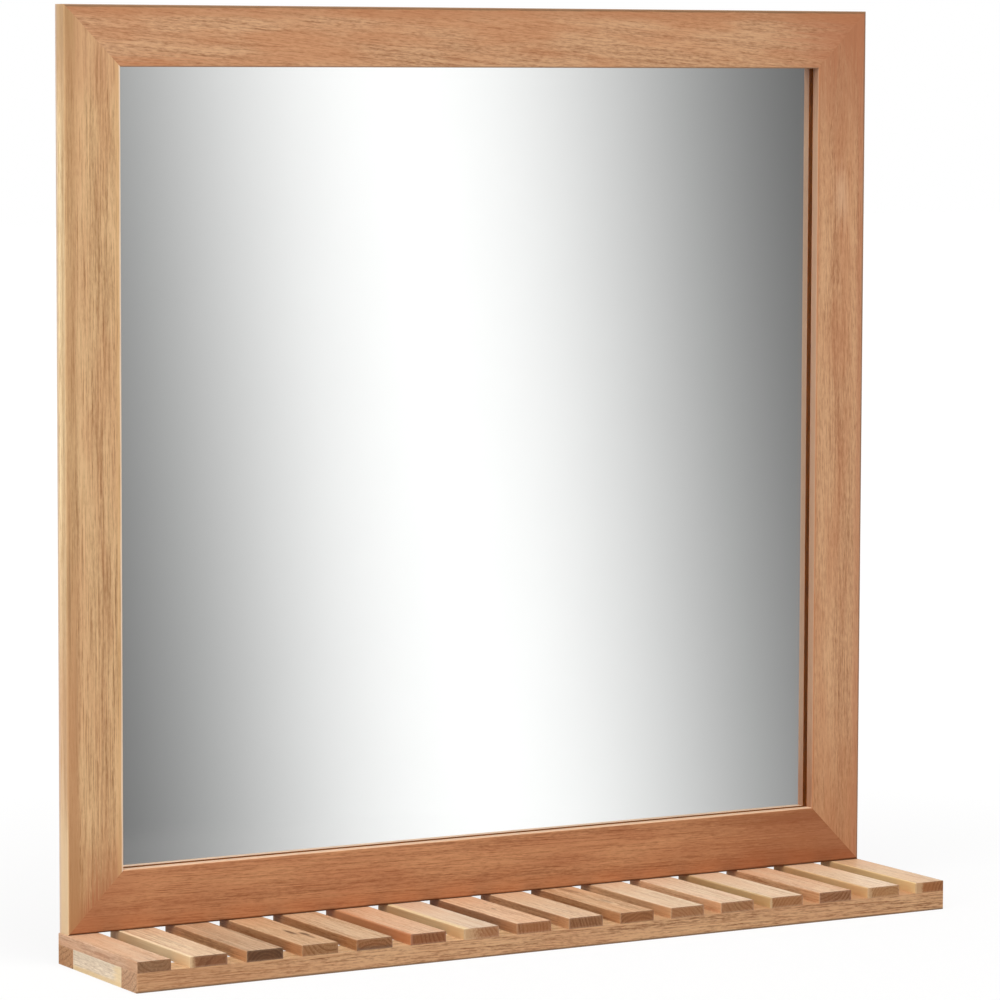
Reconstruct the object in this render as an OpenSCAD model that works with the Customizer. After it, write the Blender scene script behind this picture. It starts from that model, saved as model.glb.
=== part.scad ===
// Bathroom mirror: a mitred wooden frame with a rebated mirror, standing on a slatted shelf.
// The wall is the plane y = 0, the front faces -Y, and +Z is up. The origin is on the wall,
// midway between the two keyhole openings that take the wall screws.

/* [Overall] */
// Length of the shelf from side to side
shelf_w = 600; // [460:10:800]
// Depth of the shelf from the wall to its front edge
shelf_d = 113; // [90:1:160]
// Height from the underside of the shelf to the top of the frame
object_h = 600; // [460:10:800]

/* [Frame] */
// How far the frame stays in from each end of the shelf
frame_inset = 1; // [0.5:0.5:10]
// Thickness of the frame from back to front
frame_t = 13; // [12:0.5:20]
// Width of the frame's face
face_w = 38.5; // [34:0.5:60]
// Width of the step that the glass lies in
glass_rebate_w = 7; // [5:0.5:9]
// Width of the wider step that the backing panel lies in
panel_rebate_w = 15; // [14:0.5:17]
// Radius of the eased front edge on the outside of the frame
outer_ease = 1.2; // [0.4:0.2:3]
// Radius of the eased front edge beside the glass
inner_ease = 0.8; // [0.4:0.2:2]
// Radius of the eased back edge of the frame
back_ease = 0.5; // [0.2:0.1:1.5]

/* [Mirror and backing] */
// Thickness of the mirror glass
glass_t = 4; // [3:0.5:5]
// Room left round the edge of the glass
glass_gap = 1; // [0.5:0.25:2]
// Thickness of the backing panel
panel_t = 2; // [1.5:0.5:3]
// How far the backing panel lies below the back of the frame
panel_set = 0.5; // [0.25:0.25:1.5]
// Room left round the edge of the backing panel
panel_gap = 0.5; // [0.25:0.25:1]

/* [Shelf] */
// Number of slats
slat_count = 16; // [8:1:20]
// Width of an inner slat
slat_w = 25.3; // [16:0.1:30]
// Width of the slat at each end
end_slat_w = 23; // [20:0.5:32]
// Thickness of a slat
slat_t = 7; // [6:0.5:12]
// Height of the rails under the slats
rail_t = 12.5; // [10:0.5:20]
// Depth of the front and back rails
rail_d = 22; // [20:0.5:32]
// Width of the end pieces between the rails
end_piece_w = 20; // [20:0.5:26]
// Radius of the eased edges of slats and rails
shelf_ease = 0.8; // [0.3:0.1:2]

/* [Shelf screws and dowels] */
// Shank diameter of the screws that hold the slats from beneath
slat_screw_d = 3.5; // [2.5:0.5:4]
// Head diameter of the slat screws
slat_screw_head_d = 7; // [5:0.5:8]
// Height of the countersunk head of the slat screws
slat_screw_head_h = 1.8; // [1:0.1:3]
// Length that the slat screws reach into the slats
slat_screw_bite = 4.5; // [3:0.5:5]
// Distance of the slat screws from the inner edge of their rail
slat_screw_edge = 6; // [5:0.5:7]
// Distance of the end slats' screws from the end of the shelf
end_screw_edge = 6.5; // [5:0.5:7]
// Number of long screws up into the frame
frame_screw_count = 4; // [2:2:6]
// Shank diameter of the long screws
frame_screw_d = 4; // [3:0.5:5]
// Head diameter of the long screws
frame_screw_head_d = 8; // [6:0.5:9]
// Height of the countersunk head of the long screws
frame_screw_head_h = 2.2; // [1:0.1:3]
// Length that the long screws reach into the frame
frame_screw_bite = 18; // [12:1:20]
// Number of slats between the end of the shelf and the first long screw
frame_screw_skip = 1; // [1:1:2]
// Diameter of the dowels in the end pieces
dowel_d = 6; // [4:1:6]
// Length of the dowels in the end pieces
dowel_l = 30; // [20:2:34]
// Distance of the dowels from the end of the shelf
dowel_edge = 15; // [14:0.5:16]

/* [Back fasteners] */
// Shank diameter of the backing screws
panel_screw_d = 2.5; // [2:0.25:3]
// Head diameter of the backing screws
panel_screw_head_d = 4.6; // [4:0.2:5.6]
// Height of the countersunk head of the backing screws
panel_screw_head_h = 1.2; // [0.8:0.1:1.4]
// Length that the backing screws reach into the frame
panel_screw_bite = 6; // [4:0.5:8]
// Number of backing screws along each side
panel_screw_count = 3; // [2:1:5]
// Distance of the outer backing screws from the corner of the panel
panel_screw_margin = 60; // [30:5:90]
// Distance of the backing screws from the edge of the panel
panel_screw_edge = 3.5; // [3:0.25:4]
// Length of each leg of the mitre nails
nail_leg = 7; // [5:0.5:8]
// Depth of the mitre nails into the frame
nail_depth = 7; // [5:0.5:10]
// Thickness of the sheet that the mitre nails are folded from
nail_sheet = 0.9; // [0.6:0.1:1.2]
// How far the mitre nails are set below the back
nail_set = 0.3; // [0.1:0.1:0.5]
// Distance of the first mitre nail from the outer corner
nail_first = 4.5; // [3:0.5:5]
// Distance between the two mitre nails of a corner
nail_step = 9; // [9:0.5:9.5]

/* [Hangers] */
// Distance of the keyhole opening below the top of the frame
hanger_drop = 80; // [50:5:150]
// Width of the hanger plates
plate_w = 16; // [15:0.5:18]
// Height of the hanger plates
plate_h = 45; // [42:1:60]
// Thickness of the hanger plates
plate_t = 1.5; // [1:0.25:2]
// Diameter of the keyhole opening that passes over the wall screw's head
entry_d = 10; // [8:0.5:11]
// Width of the slot that holds the wall screw's shank
slot_w = 4.5; // [3.5:0.5:5]
// How far the slot rises above the middle of the opening
slot_rise = 10; // [8:0.5:12]
// Room in the wood round the wall screw's head
pocket_room = 0.5; // [0.25:0.25:1]
// Depth of the pocket behind the plate
pocket_depth = 6; // [5:0.5:7]
// Shank diameter of the hanger screws
hanger_screw_d = 3; // [2.5:0.25:3.5]
// Head diameter of the hanger screws
hanger_screw_head_d = 6; // [5:0.25:6.5]
// Length of the hanger screws
hanger_screw_l = 9.5; // [7:0.5:11]
// Distance of the hanger screws from the end of the plate
hanger_screw_edge = 5.5; // [5:0.5:6]

/* [Fits] */
// Play round screws, dowels and nails in their holes
hole_play = 0.05; // [0.02:0.01:0.1]
// Play round the hanger plates in their recess
plate_play = 0.2; // [0.1:0.05:0.3]

/* [Hidden] */
$fn = 48;
over = 1; // how far a cutting shape reaches past the face that it opens

base_z = hanger_drop - object_h;
slat_z = base_z + rail_t;
frame_z = slat_z + slat_t;
frame_w = shelf_w - 2 * frame_inset;
frame_h = hanger_drop - frame_z;

// Depths below the back of the frame. The lip in front of the glass is what is left of the frame.
panel_back = panel_set;
glass_back = panel_back + panel_t;
lip_t = frame_t - glass_back - glass_t;
glass_inset = face_w - glass_rebate_w + glass_gap;
panel_inset = face_w - panel_rebate_w + panel_gap;

slat_gap = (shelf_w - 2 * end_slat_w - (slat_count - 2) * slat_w) / (slat_count - 1);
front_rail_y = -shelf_d;
back_rail_y = -rail_d;

hanger_x = frame_w / 2 - (face_w - panel_rebate_w) / 2;
plate_mid = slot_rise / 2;

oak = "#c9a078";
pale_oak = "#ddbd94";
steel = "#b9bcc0";

FIXED_NODES = [
    "frame_left_stile", "frame_right_stile", "frame_top_rail", "frame_bottom_rail",
    "mitre_nails", "mirror_glass", "backing_panel", "backing_screws",
    "shelf_front_rail", "shelf_back_rail", "shelf_left_end", "shelf_right_end",
    "slat_screws", "frame_screws", "end_dowels",
    "hanger_left", "hanger_right", "hanger_screws"
];
function slat_name(i) = str("slat_", i < 9 ? "0" : "", i + 1);

// Slat positions: the end slats are flush with the ends, and the rest share equal gaps.
function is_end(i) = i == 0 || i == slat_count - 1;
function slat_width(i) = is_end(i) ? end_slat_w : slat_w;
function slat_left(i) =
    -shelf_w / 2 + (i == 0 ? 0 : end_slat_w + slat_gap + (i - 1) * (slat_w + slat_gap));
function slat_middle(i) = slat_left(i) + slat_width(i) / 2;

// The end slats' screws stay clear of the dowels in the end pieces.
function slat_screw_x(i) =
    i == 0 ? -shelf_w / 2 + end_screw_edge
    : i == slat_count - 1 ? shelf_w / 2 - end_screw_edge
    : slat_middle(i);

// The long screws stand in the middle of slats spread evenly from the first to the last of them.
function frame_screw_slat(k) =
    round(frame_screw_skip + k * (slat_count - 1 - 2 * frame_screw_skip) / (frame_screw_count - 1));

// What a rounded edge of radius r takes from a corner at [x, y]; sx and sy point into the section.
module eased_corner(x, y, sx, sy, r) {
    translate([x, y]) difference() {
        translate([sx > 0 ? -over : -r, sy > 0 ? -over : -r]) square(r + over);
        translate([sx * r, sy * r]) circle(r);
    }
}

// Section of a frame member: depth from the back along x, distance from the outer edge along y.
module frame_section() {
    difference() {
        translate([-frame_t, 0]) square([frame_t, face_w]);
        translate([lip_t - frame_t, face_w - glass_rebate_w])
            square([frame_t, glass_rebate_w + over]);
        translate([-glass_back, face_w - panel_rebate_w])
            square([frame_t, panel_rebate_w + over]);
        eased_corner(-frame_t, 0, 1, 1, outer_ease);
        eased_corner(-frame_t, face_w, 1, -1, inner_ease);
        eased_corner(0, 0, -1, 1, back_ease);
    }
}

// A member along +X with its outer edge on z = 0, cut at 45 degrees at both ends.
module mitred_member(l) {
    intersection() {
        rotate([90, 0, 90]) linear_extrude(l) frame_section();
        rotate([90, 0, 0]) translate([0, 0, -over]) linear_extrude(frame_t + 2 * over)
            polygon([[0, 0], [l, 0], [l - face_w, face_w], [face_w, face_w]]);
    }
}

// A countersunk screw with its head flush on z = 0, pointing to -Z. Play makes it its own hole.
module flush_screw(d, head_d, head_h, l, play = 0) {
    rotate_extrude() polygon([
        [0, play > 0 ? over : 0],
        [head_d / 2 + play, play > 0 ? over : 0],
        [head_d / 2 + play, 0],
        [d / 2 + play, -head_h],
        [d / 2 + play, d - l],
        [0, -l - play]
    ]);
}

// Two places, one on the left and its mirror image on the right.
module both_sides() {
    children();
    mirror([1, 0, 0]) children();
}

// Mitre nails: sheet folded square, one leg in each member, pressed in from the back.
module folded_nail(play) {
    leg = nail_leg + 2 * play;
    sheet = nail_sheet + 2 * play;
    rotate([90, 0, 0]) translate([-play, -play, play > 0 ? -over : nail_set])
        linear_extrude(nail_depth + (play > 0 ? over + nail_set + play : 0)) {
            square([leg, sheet]);
            square([sheet, leg]);
        }
}

module corner_nails(play) {
    for (k = [0, 1]) {
        at = nail_first + k * nail_step;
        translate([at, 0, at]) folded_nail(play);
    }
}

module all_mitre_nails(play = 0) {
    both_sides() {
        translate([-frame_w / 2, 0, frame_z]) corner_nails(play);
        translate([-frame_w / 2, 0, frame_z + frame_h]) mirror([0, 0, 1]) corner_nails(play);
    }
}

// Backing screws: an even row along each side of the panel, in the ledge under its edge.
module screw_row(length, play) {
    reach = length / 2 - panel_screw_margin;
    for (k = [0 : panel_screw_count - 1])
        translate([-reach + k * 2 * reach / (panel_screw_count - 1), -panel_back, 0])
            rotate([-90, 0, 0]) flush_screw(
                panel_screw_d, panel_screw_head_d, panel_screw_head_h,
                panel_t + panel_screw_bite, play
            );
}

module all_backing_screws(play = 0) {
    mid_z = frame_z + frame_h / 2;
    panel_w = frame_w - 2 * panel_inset;
    panel_h = frame_h - 2 * panel_inset;
    for (s = [-1, 1]) {
        translate([0, 0, mid_z + s * (panel_h / 2 - panel_screw_edge)]) screw_row(panel_w, play);
        translate([s * (panel_w / 2 - panel_screw_edge), 0, mid_z])
            rotate([0, 90, 0]) screw_row(panel_h, play);
    }
}

// Slat screws of slat i: one up through each rail.
module slat_screw_pair(i, play = 0) {
    for (y = [front_rail_y + rail_d - slat_screw_edge, back_rail_y + slat_screw_edge])
        translate([slat_screw_x(i), y, base_z]) rotate([180, 0, 0])
            flush_screw(
                slat_screw_d, slat_screw_head_d, slat_screw_head_h,
                rail_t + slat_screw_bite, play
            );
}

module all_slat_screws(play = 0) {
    for (i = [0 : slat_count - 1]) slat_screw_pair(i, play);
}

// Long screws up through the back rail and a slat into the frame.
module all_frame_screws(play = 0) {
    for (k = [0 : frame_screw_count - 1])
        translate([slat_middle(frame_screw_slat(k)), -frame_t / 2, base_z]) rotate([180, 0, 0])
            flush_screw(
                frame_screw_d, frame_screw_head_d, frame_screw_head_h,
                rail_t + slat_t + frame_screw_bite, play
            );
}

// Dowels along Y, half in a rail and half in an end piece.
module all_end_dowels(play = 0) {
    for (y = [front_rail_y + rail_d, back_rail_y])
        both_sides() translate([dowel_edge - shelf_w / 2, y, base_z + rail_t / 2])
            rotate([90, 0, 0]) cylinder(d = dowel_d + 2 * play, h = dowel_l + 2 * play, center = true);
}

// Outline with round ends, w wide, from z = low to z = high.
module round_ended(w, low, high) {
    translate([-w / 2, low + w / 2]) square([w, high - low - w]);
    translate([0, low + w / 2]) circle(d = w);
    translate([0, high - w / 2]) circle(d = w);
}

module plate_outline(play = 0) {
    round_ended(plate_w + 2 * play, plate_mid - plate_h / 2 - play, plate_mid + plate_h / 2 + play);
}

// Slab from y = -from to y = -to with the outline below it.
module slab(from, to) {
    rotate([90, 0, 0]) translate([0, 0, from]) linear_extrude(to - from) children();
}

// Hanger screws: their heads fill the plate's countersinks.
module plate_screws(play = 0) {
    reach = plate_h / 2 - hanger_screw_edge;
    for (s = [-1, 1])
        translate([0, 0, plate_mid + s * reach]) rotate([-90, 0, 0])
            flush_screw(hanger_screw_d, hanger_screw_head_d, plate_t, hanger_screw_l, play);
}

module keyhole_plate() {
    color(steel) difference() {
        slab(0, plate_t) plate_outline();
        slab(-over, plate_t + over) {
            circle(d = entry_d);
            translate([-slot_w / 2, 0]) square([slot_w, slot_rise]);
            translate([0, slot_rise]) circle(d = slot_w);
        }
        plate_screws(hole_play);
    }
}

// What a hanger takes out of a stile: the plate's seat, the pocket for the wall screw's head,
// and the screw holes.
module hanger_seat() {
    pocket_w = entry_d + 2 * pocket_room;
    slab(-over, plate_t) plate_outline(plate_play);
    slab(0, plate_t + pocket_depth) round_ended(pocket_w, -pocket_w / 2, slot_rise + pocket_w / 2);
    plate_screws(hole_play);
}

// The four frame members.
module stile() {
    color(oak) difference() {
        translate([-frame_w / 2, 0, frame_z]) mirror([1, 0, -1]) mitred_member(frame_h);
        all_mitre_nails(hole_play);
        all_backing_screws(hole_play);
        translate([-hanger_x, 0, 0]) hanger_seat();
    }
}
module frame_left_stile() { stile(); }
module frame_right_stile() { mirror([1, 0, 0]) stile(); }
module frame_top_rail() {
    color(oak) difference() {
        translate([-frame_w / 2, 0, frame_z + frame_h]) mirror([0, 0, 1]) mitred_member(frame_w);
        all_mitre_nails(hole_play);
        all_backing_screws(hole_play);
    }
}
module frame_bottom_rail() {
    color(oak) difference() {
        translate([-frame_w / 2, 0, frame_z]) mitred_member(frame_w);
        all_mitre_nails(hole_play);
        all_backing_screws(hole_play);
        all_frame_screws(hole_play);
    }
}
module mitre_nails() { color(steel) all_mitre_nails(); }

// The mirror lies against the lip, and the backing panel against the mirror.
module mirror_glass() {
    color("#cfd6d8")
        translate([glass_inset - frame_w / 2, -glass_back - glass_t, frame_z + glass_inset])
            cube([frame_w - 2 * glass_inset, glass_t, frame_h - 2 * glass_inset]);
}
module backing_panel() {
    color("#8a6a4c") difference() {
        translate([panel_inset - frame_w / 2, -glass_back, frame_z + panel_inset])
            cube([frame_w - 2 * panel_inset, panel_t, frame_h - 2 * panel_inset]);
        all_backing_screws(hole_play);
    }
}
module backing_screws() { color(steel) all_backing_screws(); }

// Columns that ease the four upright corners of the shelf.
module shelf_corner_cuts() {
    translate([0, 0, base_z - over]) linear_extrude(rail_t + slat_t + 2 * over)
        for (side = [-1, 1]) {
            eased_corner(side * shelf_w / 2, front_rail_y, -side, 1, shelf_ease);
            eased_corner(side * shelf_w / 2, 0, -side, -1, shelf_ease);
        }
}

// Rail section: depth along x, height along y, with its lower edges eased.
module shelf_rail(y) {
    color(oak) difference() {
        translate([-shelf_w / 2, y, base_z]) rotate([90, 0, 90]) linear_extrude(shelf_w)
            difference() {
                square([rail_d, rail_t]);
                eased_corner(0, 0, 1, 1, shelf_ease);
                eased_corner(rail_d, 0, -1, 1, shelf_ease);
            }
        shelf_corner_cuts();
        all_slat_screws(hole_play);
        all_frame_screws(hole_play);
        all_end_dowels(hole_play);
    }
}
module shelf_front_rail() { shelf_rail(front_rail_y); }
module shelf_back_rail() { shelf_rail(back_rail_y); }

// End pieces butt between the rails, flush with the ends of the shelf.
module end_piece() {
    color(pale_oak) difference() {
        translate([-shelf_w / 2, front_rail_y + rail_d, base_z])
            cube([end_piece_w, shelf_d - 2 * rail_d, rail_t]);
        all_end_dowels(hole_play);
    }
}
module shelf_left_end() { end_piece(); }
module shelf_right_end() { mirror([1, 0, 0]) end_piece(); }

// A slat runs from front to back over both rails, its upper edges eased.
module slat(i) {
    w = slat_width(i);
    color(pale_oak) difference() {
        translate([slat_left(i), 0, slat_z]) rotate([90, 0, 0]) linear_extrude(shelf_d)
            difference() {
                square([w, slat_t]);
                eased_corner(0, slat_t, 1, -1, shelf_ease);
                eased_corner(w, slat_t, -1, -1, shelf_ease);
            }
        if (is_end(i)) shelf_corner_cuts();
        slat_screw_pair(i, hole_play);
        all_frame_screws(hole_play);
    }
}

module slat_screws() { color(steel) all_slat_screws(); }
module frame_screws() { color(steel) all_frame_screws(); }
module end_dowels() { color(pale_oak) all_end_dowels(); }
module hanger_left() { translate([-hanger_x, 0, 0]) keyhole_plate(); }
module hanger_right() { translate([hanger_x, 0, 0]) keyhole_plate(); }
module hanger_screws() { color(steel) both_sides() translate([-hanger_x, 0, 0]) plate_screws(); }

frame_left_stile();
frame_right_stile();
frame_top_rail();
frame_bottom_rail();
mitre_nails();
mirror_glass();
backing_panel();
backing_screws();
shelf_front_rail();
shelf_back_rail();
shelf_left_end();
shelf_right_end();
slat_screws();
frame_screws();
end_dowels();
hanger_left();
hanger_right();
hanger_screws();
for (i = [0 : slat_count - 1])
    slat(i);
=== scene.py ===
# %% [markdown]
# # A bathroom mirror with a slatted shelf
#
# The object is a square mirror in a mitred wooden frame. The frame stands on the back of a
# narrow shelf, which is made of slats laid over two rails. The exact solids come from the
# part's own source, so this lesson changes no size. It only adds what a solid model lacks:
# wood with real grain, silvered glass, steel, light and a camera.
#
# A scene could also be drawn from scratch in Blender. Loading the solids is the better way
# here, because every joint then stays where the workshop drawing has it. Their lengths, and
# those of the scene, are in metres. The finishes count in millimetres where they say so.

# %% Load the solids
import math
import random
from collections import namedtuple
from types import SimpleNamespace

import bmesh
import bpy
from mathutils import Matrix, Vector


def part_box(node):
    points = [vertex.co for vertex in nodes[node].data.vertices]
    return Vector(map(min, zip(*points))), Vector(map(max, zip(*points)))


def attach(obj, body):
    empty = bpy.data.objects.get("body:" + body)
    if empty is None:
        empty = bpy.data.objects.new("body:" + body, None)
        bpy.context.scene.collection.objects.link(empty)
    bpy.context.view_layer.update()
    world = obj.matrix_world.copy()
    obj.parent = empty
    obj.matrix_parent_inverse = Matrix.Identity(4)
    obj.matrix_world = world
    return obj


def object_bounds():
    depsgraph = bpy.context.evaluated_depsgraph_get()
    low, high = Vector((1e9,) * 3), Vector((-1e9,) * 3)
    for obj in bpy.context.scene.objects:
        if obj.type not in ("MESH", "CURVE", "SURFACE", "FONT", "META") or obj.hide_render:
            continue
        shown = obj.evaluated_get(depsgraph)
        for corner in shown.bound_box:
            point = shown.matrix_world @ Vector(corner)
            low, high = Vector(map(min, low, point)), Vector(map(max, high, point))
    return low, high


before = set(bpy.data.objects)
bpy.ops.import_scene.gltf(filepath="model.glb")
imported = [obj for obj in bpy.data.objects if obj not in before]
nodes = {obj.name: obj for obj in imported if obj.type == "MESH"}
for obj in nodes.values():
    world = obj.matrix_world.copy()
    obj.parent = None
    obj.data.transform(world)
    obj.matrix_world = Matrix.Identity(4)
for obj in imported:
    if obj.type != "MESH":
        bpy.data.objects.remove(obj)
solid_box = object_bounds()
print("solids loaded:", len(nodes), "nodes, box:", [[round(v, 4) for v in corner] for corner in solid_box])

# %% [markdown]
# ## The camera
#
# The photograph looks at the mirror from the left and from a little above, through a long
# lens: the frame's far side is hardly smaller than its near side. A camera could be placed
# by eye. Here its place was worked out from the corners of frame and shelf, whose distances
# in millimetres are known, so that each corner falls where the photograph shows it.

# %% Place the camera
camera_place = (-1.562, -2.7108, 0.0465)
yaw, pitch, roll = math.radians(30.274), math.radians(5.239), math.radians(0.187)
forward = Vector((math.sin(yaw) * math.cos(pitch), math.cos(yaw) * math.cos(pitch), -math.sin(pitch)))
level = Vector((math.cos(yaw), -math.sin(yaw), 0))
upright = level.cross(forward)
camera_right = level * math.cos(roll) + upright * math.sin(roll)
camera_up = upright * math.cos(roll) - level * math.sin(roll)
turn = Matrix((camera_right, camera_up, -forward)).transposed().to_4x4()

camera = bpy.data.objects.new("camera", bpy.data.cameras.new("camera"))
bpy.context.scene.collection.objects.link(camera)
camera.data.sensor_width = 36
camera.data.lens = 172.77
camera.data.clip_end = 100
camera.matrix_world = Matrix.Translation(camera_place) @ turn
bpy.context.scene.camera = camera
bpy.context.scene.view_settings.view_transform = "Standard"
print("camera at", [round(v, 3) for v in camera.location], "lens", round(camera.data.lens, 2), "mm")

# %% [markdown]
# ## Sums on sockets
#
# A finish in Blender is a little machine of nodes. Wired by hand it soon becomes hard to
# read, so one small class wraps a socket and lets Python's own signs build the Math nodes:
# `1 - mask` or `rings * 0.4 + fibres` then reads as what it means. Colours and vectors take
# the Vector Math node, because the plain Math node would turn a colour grey.

# %% A socket that can be added and multiplied
def is_wide(part):
    """True for a colour or a vector, and false for a single number."""
    return isinstance(part, Vector) or (isinstance(part, Socket) and part.plug.type in ("VECTOR", "RGBA"))


class Socket:
    def __init__(self, bench, plug):
        self.bench = bench
        self.plug = plug

    def sum(self, operation, first, second=None):
        parts = [part for part in (first, second) if part is not None]
        kind = "ShaderNodeVectorMath" if any(map(is_wide, parts)) else "ShaderNodeMath"
        return self.bench.node(kind, {"operation": operation}, dict(enumerate(parts)))

    def __add__(self, other):
        return self.sum("ADD", self, other)

    def __radd__(self, other):
        return self.sum("ADD", other, self)

    def __sub__(self, other):
        return self.sum("SUBTRACT", self, other)

    def __rsub__(self, other):
        return self.sum("SUBTRACT", other, self)

    def __mul__(self, other):
        return self.sum("MULTIPLY", self, other)

    def __rmul__(self, other):
        return self.sum("MULTIPLY", other, self)

    def __truediv__(self, other):
        return self.sum("DIVIDE", self, other)

    def __pow__(self, other):
        return self.sum("POWER", self, other)

    def __abs__(self):
        return self.sum("ABSOLUTE", self)

    def fraction(self):
        return self.sum("FRACT", self)

    def least(self, other):
        return self.sum("MINIMUM", self, other)

    def most(self, other):
        return self.sum("MAXIMUM", self, other)

    def length(self):
        return self.bench.node("ShaderNodeVectorMath", {"operation": "LENGTH"}, {0: self}, "Value")

    def parts(self):
        """The x, y and z of a vector, as three sockets."""
        split = self.bench.node("ShaderNodeSeparateXYZ", {}, {0: self})
        return [Socket(self.bench, plug) for plug in split.plug.node.outputs]


print("sockets take + - * / ** and abs")

# %% [markdown]
# Nodes need a place to be laid out, so each finish gets a bench of its own. Its method
# `node` makes any node: it sets the node's choices first and then its sockets, from values
# or from links. The nodes that every finish here asks for have short names of their own.

# %% A bench on which the nodes of one finish are laid out
class Bench:
    def __init__(self, owner):
        owner.use_nodes = True
        self.tree = owner.node_tree
        self.tree.nodes.clear()

    def node(self, kind, choices, values, output=0):
        made = self.tree.nodes.new(kind)
        for name, choice in choices.items():
            setattr(made, name, choice)
        for key, value in values.items():
            plug = made.inputs[key]
            if isinstance(value, Socket):
                self.tree.links.new(value.plug, plug)
            elif isinstance(value, (int, float)) and plug.type in ("VECTOR", "RGBA"):
                plug.default_value = [value] * len(plug.default_value)
            else:
                plug.default_value = value
        return Socket(self, made.outputs[output] if made.outputs else None)

    def point(self):
        """The place of a point, in metres from the origin."""
        return self.node("ShaderNodeTexCoord", {}, {}, "Object")

    def rays(self):
        """Three sockets: 1 for a ray from the camera, from a glossy surface, and from within glass."""
        path = self.node("ShaderNodeLightPath", {}, {}).plug.node
        kinds = ("Is Camera Ray", "Is Glossy Ray", "Is Transmission Ray")
        return [Socket(self, path.outputs[kind]) for kind in kinds]

    def join(self, x, y, z):
        return self.node("ShaderNodeCombineXYZ", {}, {0: x, 1: y, 2: z})

    def grain(self, place, detail=2.0, roughness=0.5, output=0):
        """Soft noise at that place, about 0.5 on average, one wave in each unit of length."""
        return self.node("ShaderNodeTexNoise", {},
                         {"Vector": place, "Scale": 1.0, "Detail": detail, "Roughness": roughness}, output)

    def rise(self, value, start, end, low=0.0, high=1.0):
        """Low before start, high after end, and a smooth step between them."""
        return self.node("ShaderNodeMapRange", {"interpolation_type": "SMOOTHSTEP"},
                         {0: value, 1: start, 2: end, 3: low, 4: high})

    def mix(self, share, first, second):
        """A colour that goes from the first to the second as share goes from 0 to 1."""
        return self.node("ShaderNodeMix", {"data_type": "RGBA"}, {0: share, 6: first, 7: second}, 2)

    def bump(self, height, strength):
        """Relief, in which a height of 1 is a millimetre."""
        return self.node("ShaderNodeBump", {}, {"Height": height, "Distance": 0.001, "Strength": strength})

    def surface(self, values):
        """The end of a finish: one surface with these values."""
        skin = self.node("ShaderNodeBsdfPrincipled", {}, values)
        self.node("ShaderNodeOutputMaterial", {}, {"Surface": skin})


def new_finish(name):
    finish = bpy.data.materials.new(name)
    return finish, Bench(finish)


print("benches are ready")

# %% [markdown]
# ## Colours as a painter reads them
#
# Colours are noted as they look on a screen, from 0 to 255, and Blender wants the amount of
# light. One short function turns the one into the other, so that the notes below stay easy
# to compare with the photograph.

# %% Screen colour to light
def light_of(value):
    share = value / 255
    return share / 12.92 if share <= 0.04045 else ((share + 0.055) / 1.055) ** 2.4


def tone(red, green, blue):
    return (light_of(red), light_of(green), light_of(blue), 1.0)


def shade(colour, factor):
    """The same colour, darker or lighter, but never lighter than white."""
    return tuple(min(1.0, factor * part) for part in colour[:3]) + (1,)


print("mid grey reads as", round(tone(188, 188, 188)[0], 3))

# %% [markdown]
# ## The studio
#
# The photograph has a plain white ground and soft light from above and from the left. The
# white comes from the ground itself and not from more light on the object: a ray that comes
# straight from the camera finds white, while a ray that lights the wood finds a calmer sky.
# The mirror shows what stands opposite it in the studio, which is a pale sweep with a bright
# middle and greyer sides. It is drawn into the sky by direction, with a slight lean, and
# repeats round the room, so that the glass has such a sweep from any side.

# %% Sky
sweep_period = 14.85  # degrees from one bright middle to the next
sweep_lean = 0.12  # degrees sideways for each degree up
lean_level = 5.2  # degrees below the horizon, where the lean moves nothing
sweep_dark, sweep_bright = 0.08, 1.08
plain_sky = 0.46

sky = bpy.data.worlds.new("studio_sky")
bpy.context.scene.world = sky
bench = Bench(sky)
from_camera, from_gloss, from_glass = bench.rays()
aim_x, aim_y, aim_z = bench.node("ShaderNodeTexCoord", {}, {}, "Generated").parts()
bearing = aim_x.sum("ARCTAN2", aim_x, aim_y * -1.0)
height = aim_z.sum("ARCSINE", aim_z)
levelled = math.radians(360 * lean_level * sweep_lean / sweep_period)
phase = (bearing + height * sweep_lean) * (360 / sweep_period) + levelled
crest = phase.sum("COSINE", phase) * 0.5 + 0.5
sweep = crest * crest * (sweep_bright - sweep_dark) + sweep_dark
seen = from_camera.most(from_gloss).most(from_glass)
in_front = bench.rise(aim_y, -0.3, 0.0, 1.0, 0.0)
shown = 1 - from_gloss * in_front * (1 - sweep)
light = shown * seen + (1 - seen) * plain_sky
background = bench.node("ShaderNodeBackground", {}, {"Color": light, "Strength": 1.0})
bench.node("ShaderNodeOutputWorld", {}, {"Surface": background})
print("the sky lights with", plain_sky, "and its sweep repeats every", sweep_period, "degrees")

# %% [markdown]
# The floor could be one square. But it touches the shelf, and the shelf's underside is
# worth seeing too, with its screws. So the sheet is open just under the rails and the end
# pieces, whose own wood covers the openings from above, and light reaches them from below.

# %% Openings in the floor
opening_rim = 0.0012


def opening_under(node, reach):
    """West, east, south and north side of an opening under a piece."""
    low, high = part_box(node)
    return low.x + opening_rim, high.x - opening_rim, low.y - reach, high.y + reach


openings = [opening_under(rail, -opening_rim) for rail in ("shelf_front_rail", "shelf_back_rail")]
# An end piece lies between the rails, so its opening reaches into theirs.
openings += [opening_under(closing, opening_rim) for closing in ("shelf_left_end", "shelf_right_end")]


def is_open(x, y):
    return any(west < x < east and south < y < north for west, east, south, north in openings)


print("the floor has", len(openings), "openings")

# %% [markdown]
# A Boolean modifier could cut the openings. But they are plain rectangles, so it is as easy
# to lay the sheet in rows and columns between their sides, and to leave out what is open.

# %% Floor sheet
floor_half = 12.0
floor_play = 0.00002


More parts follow.
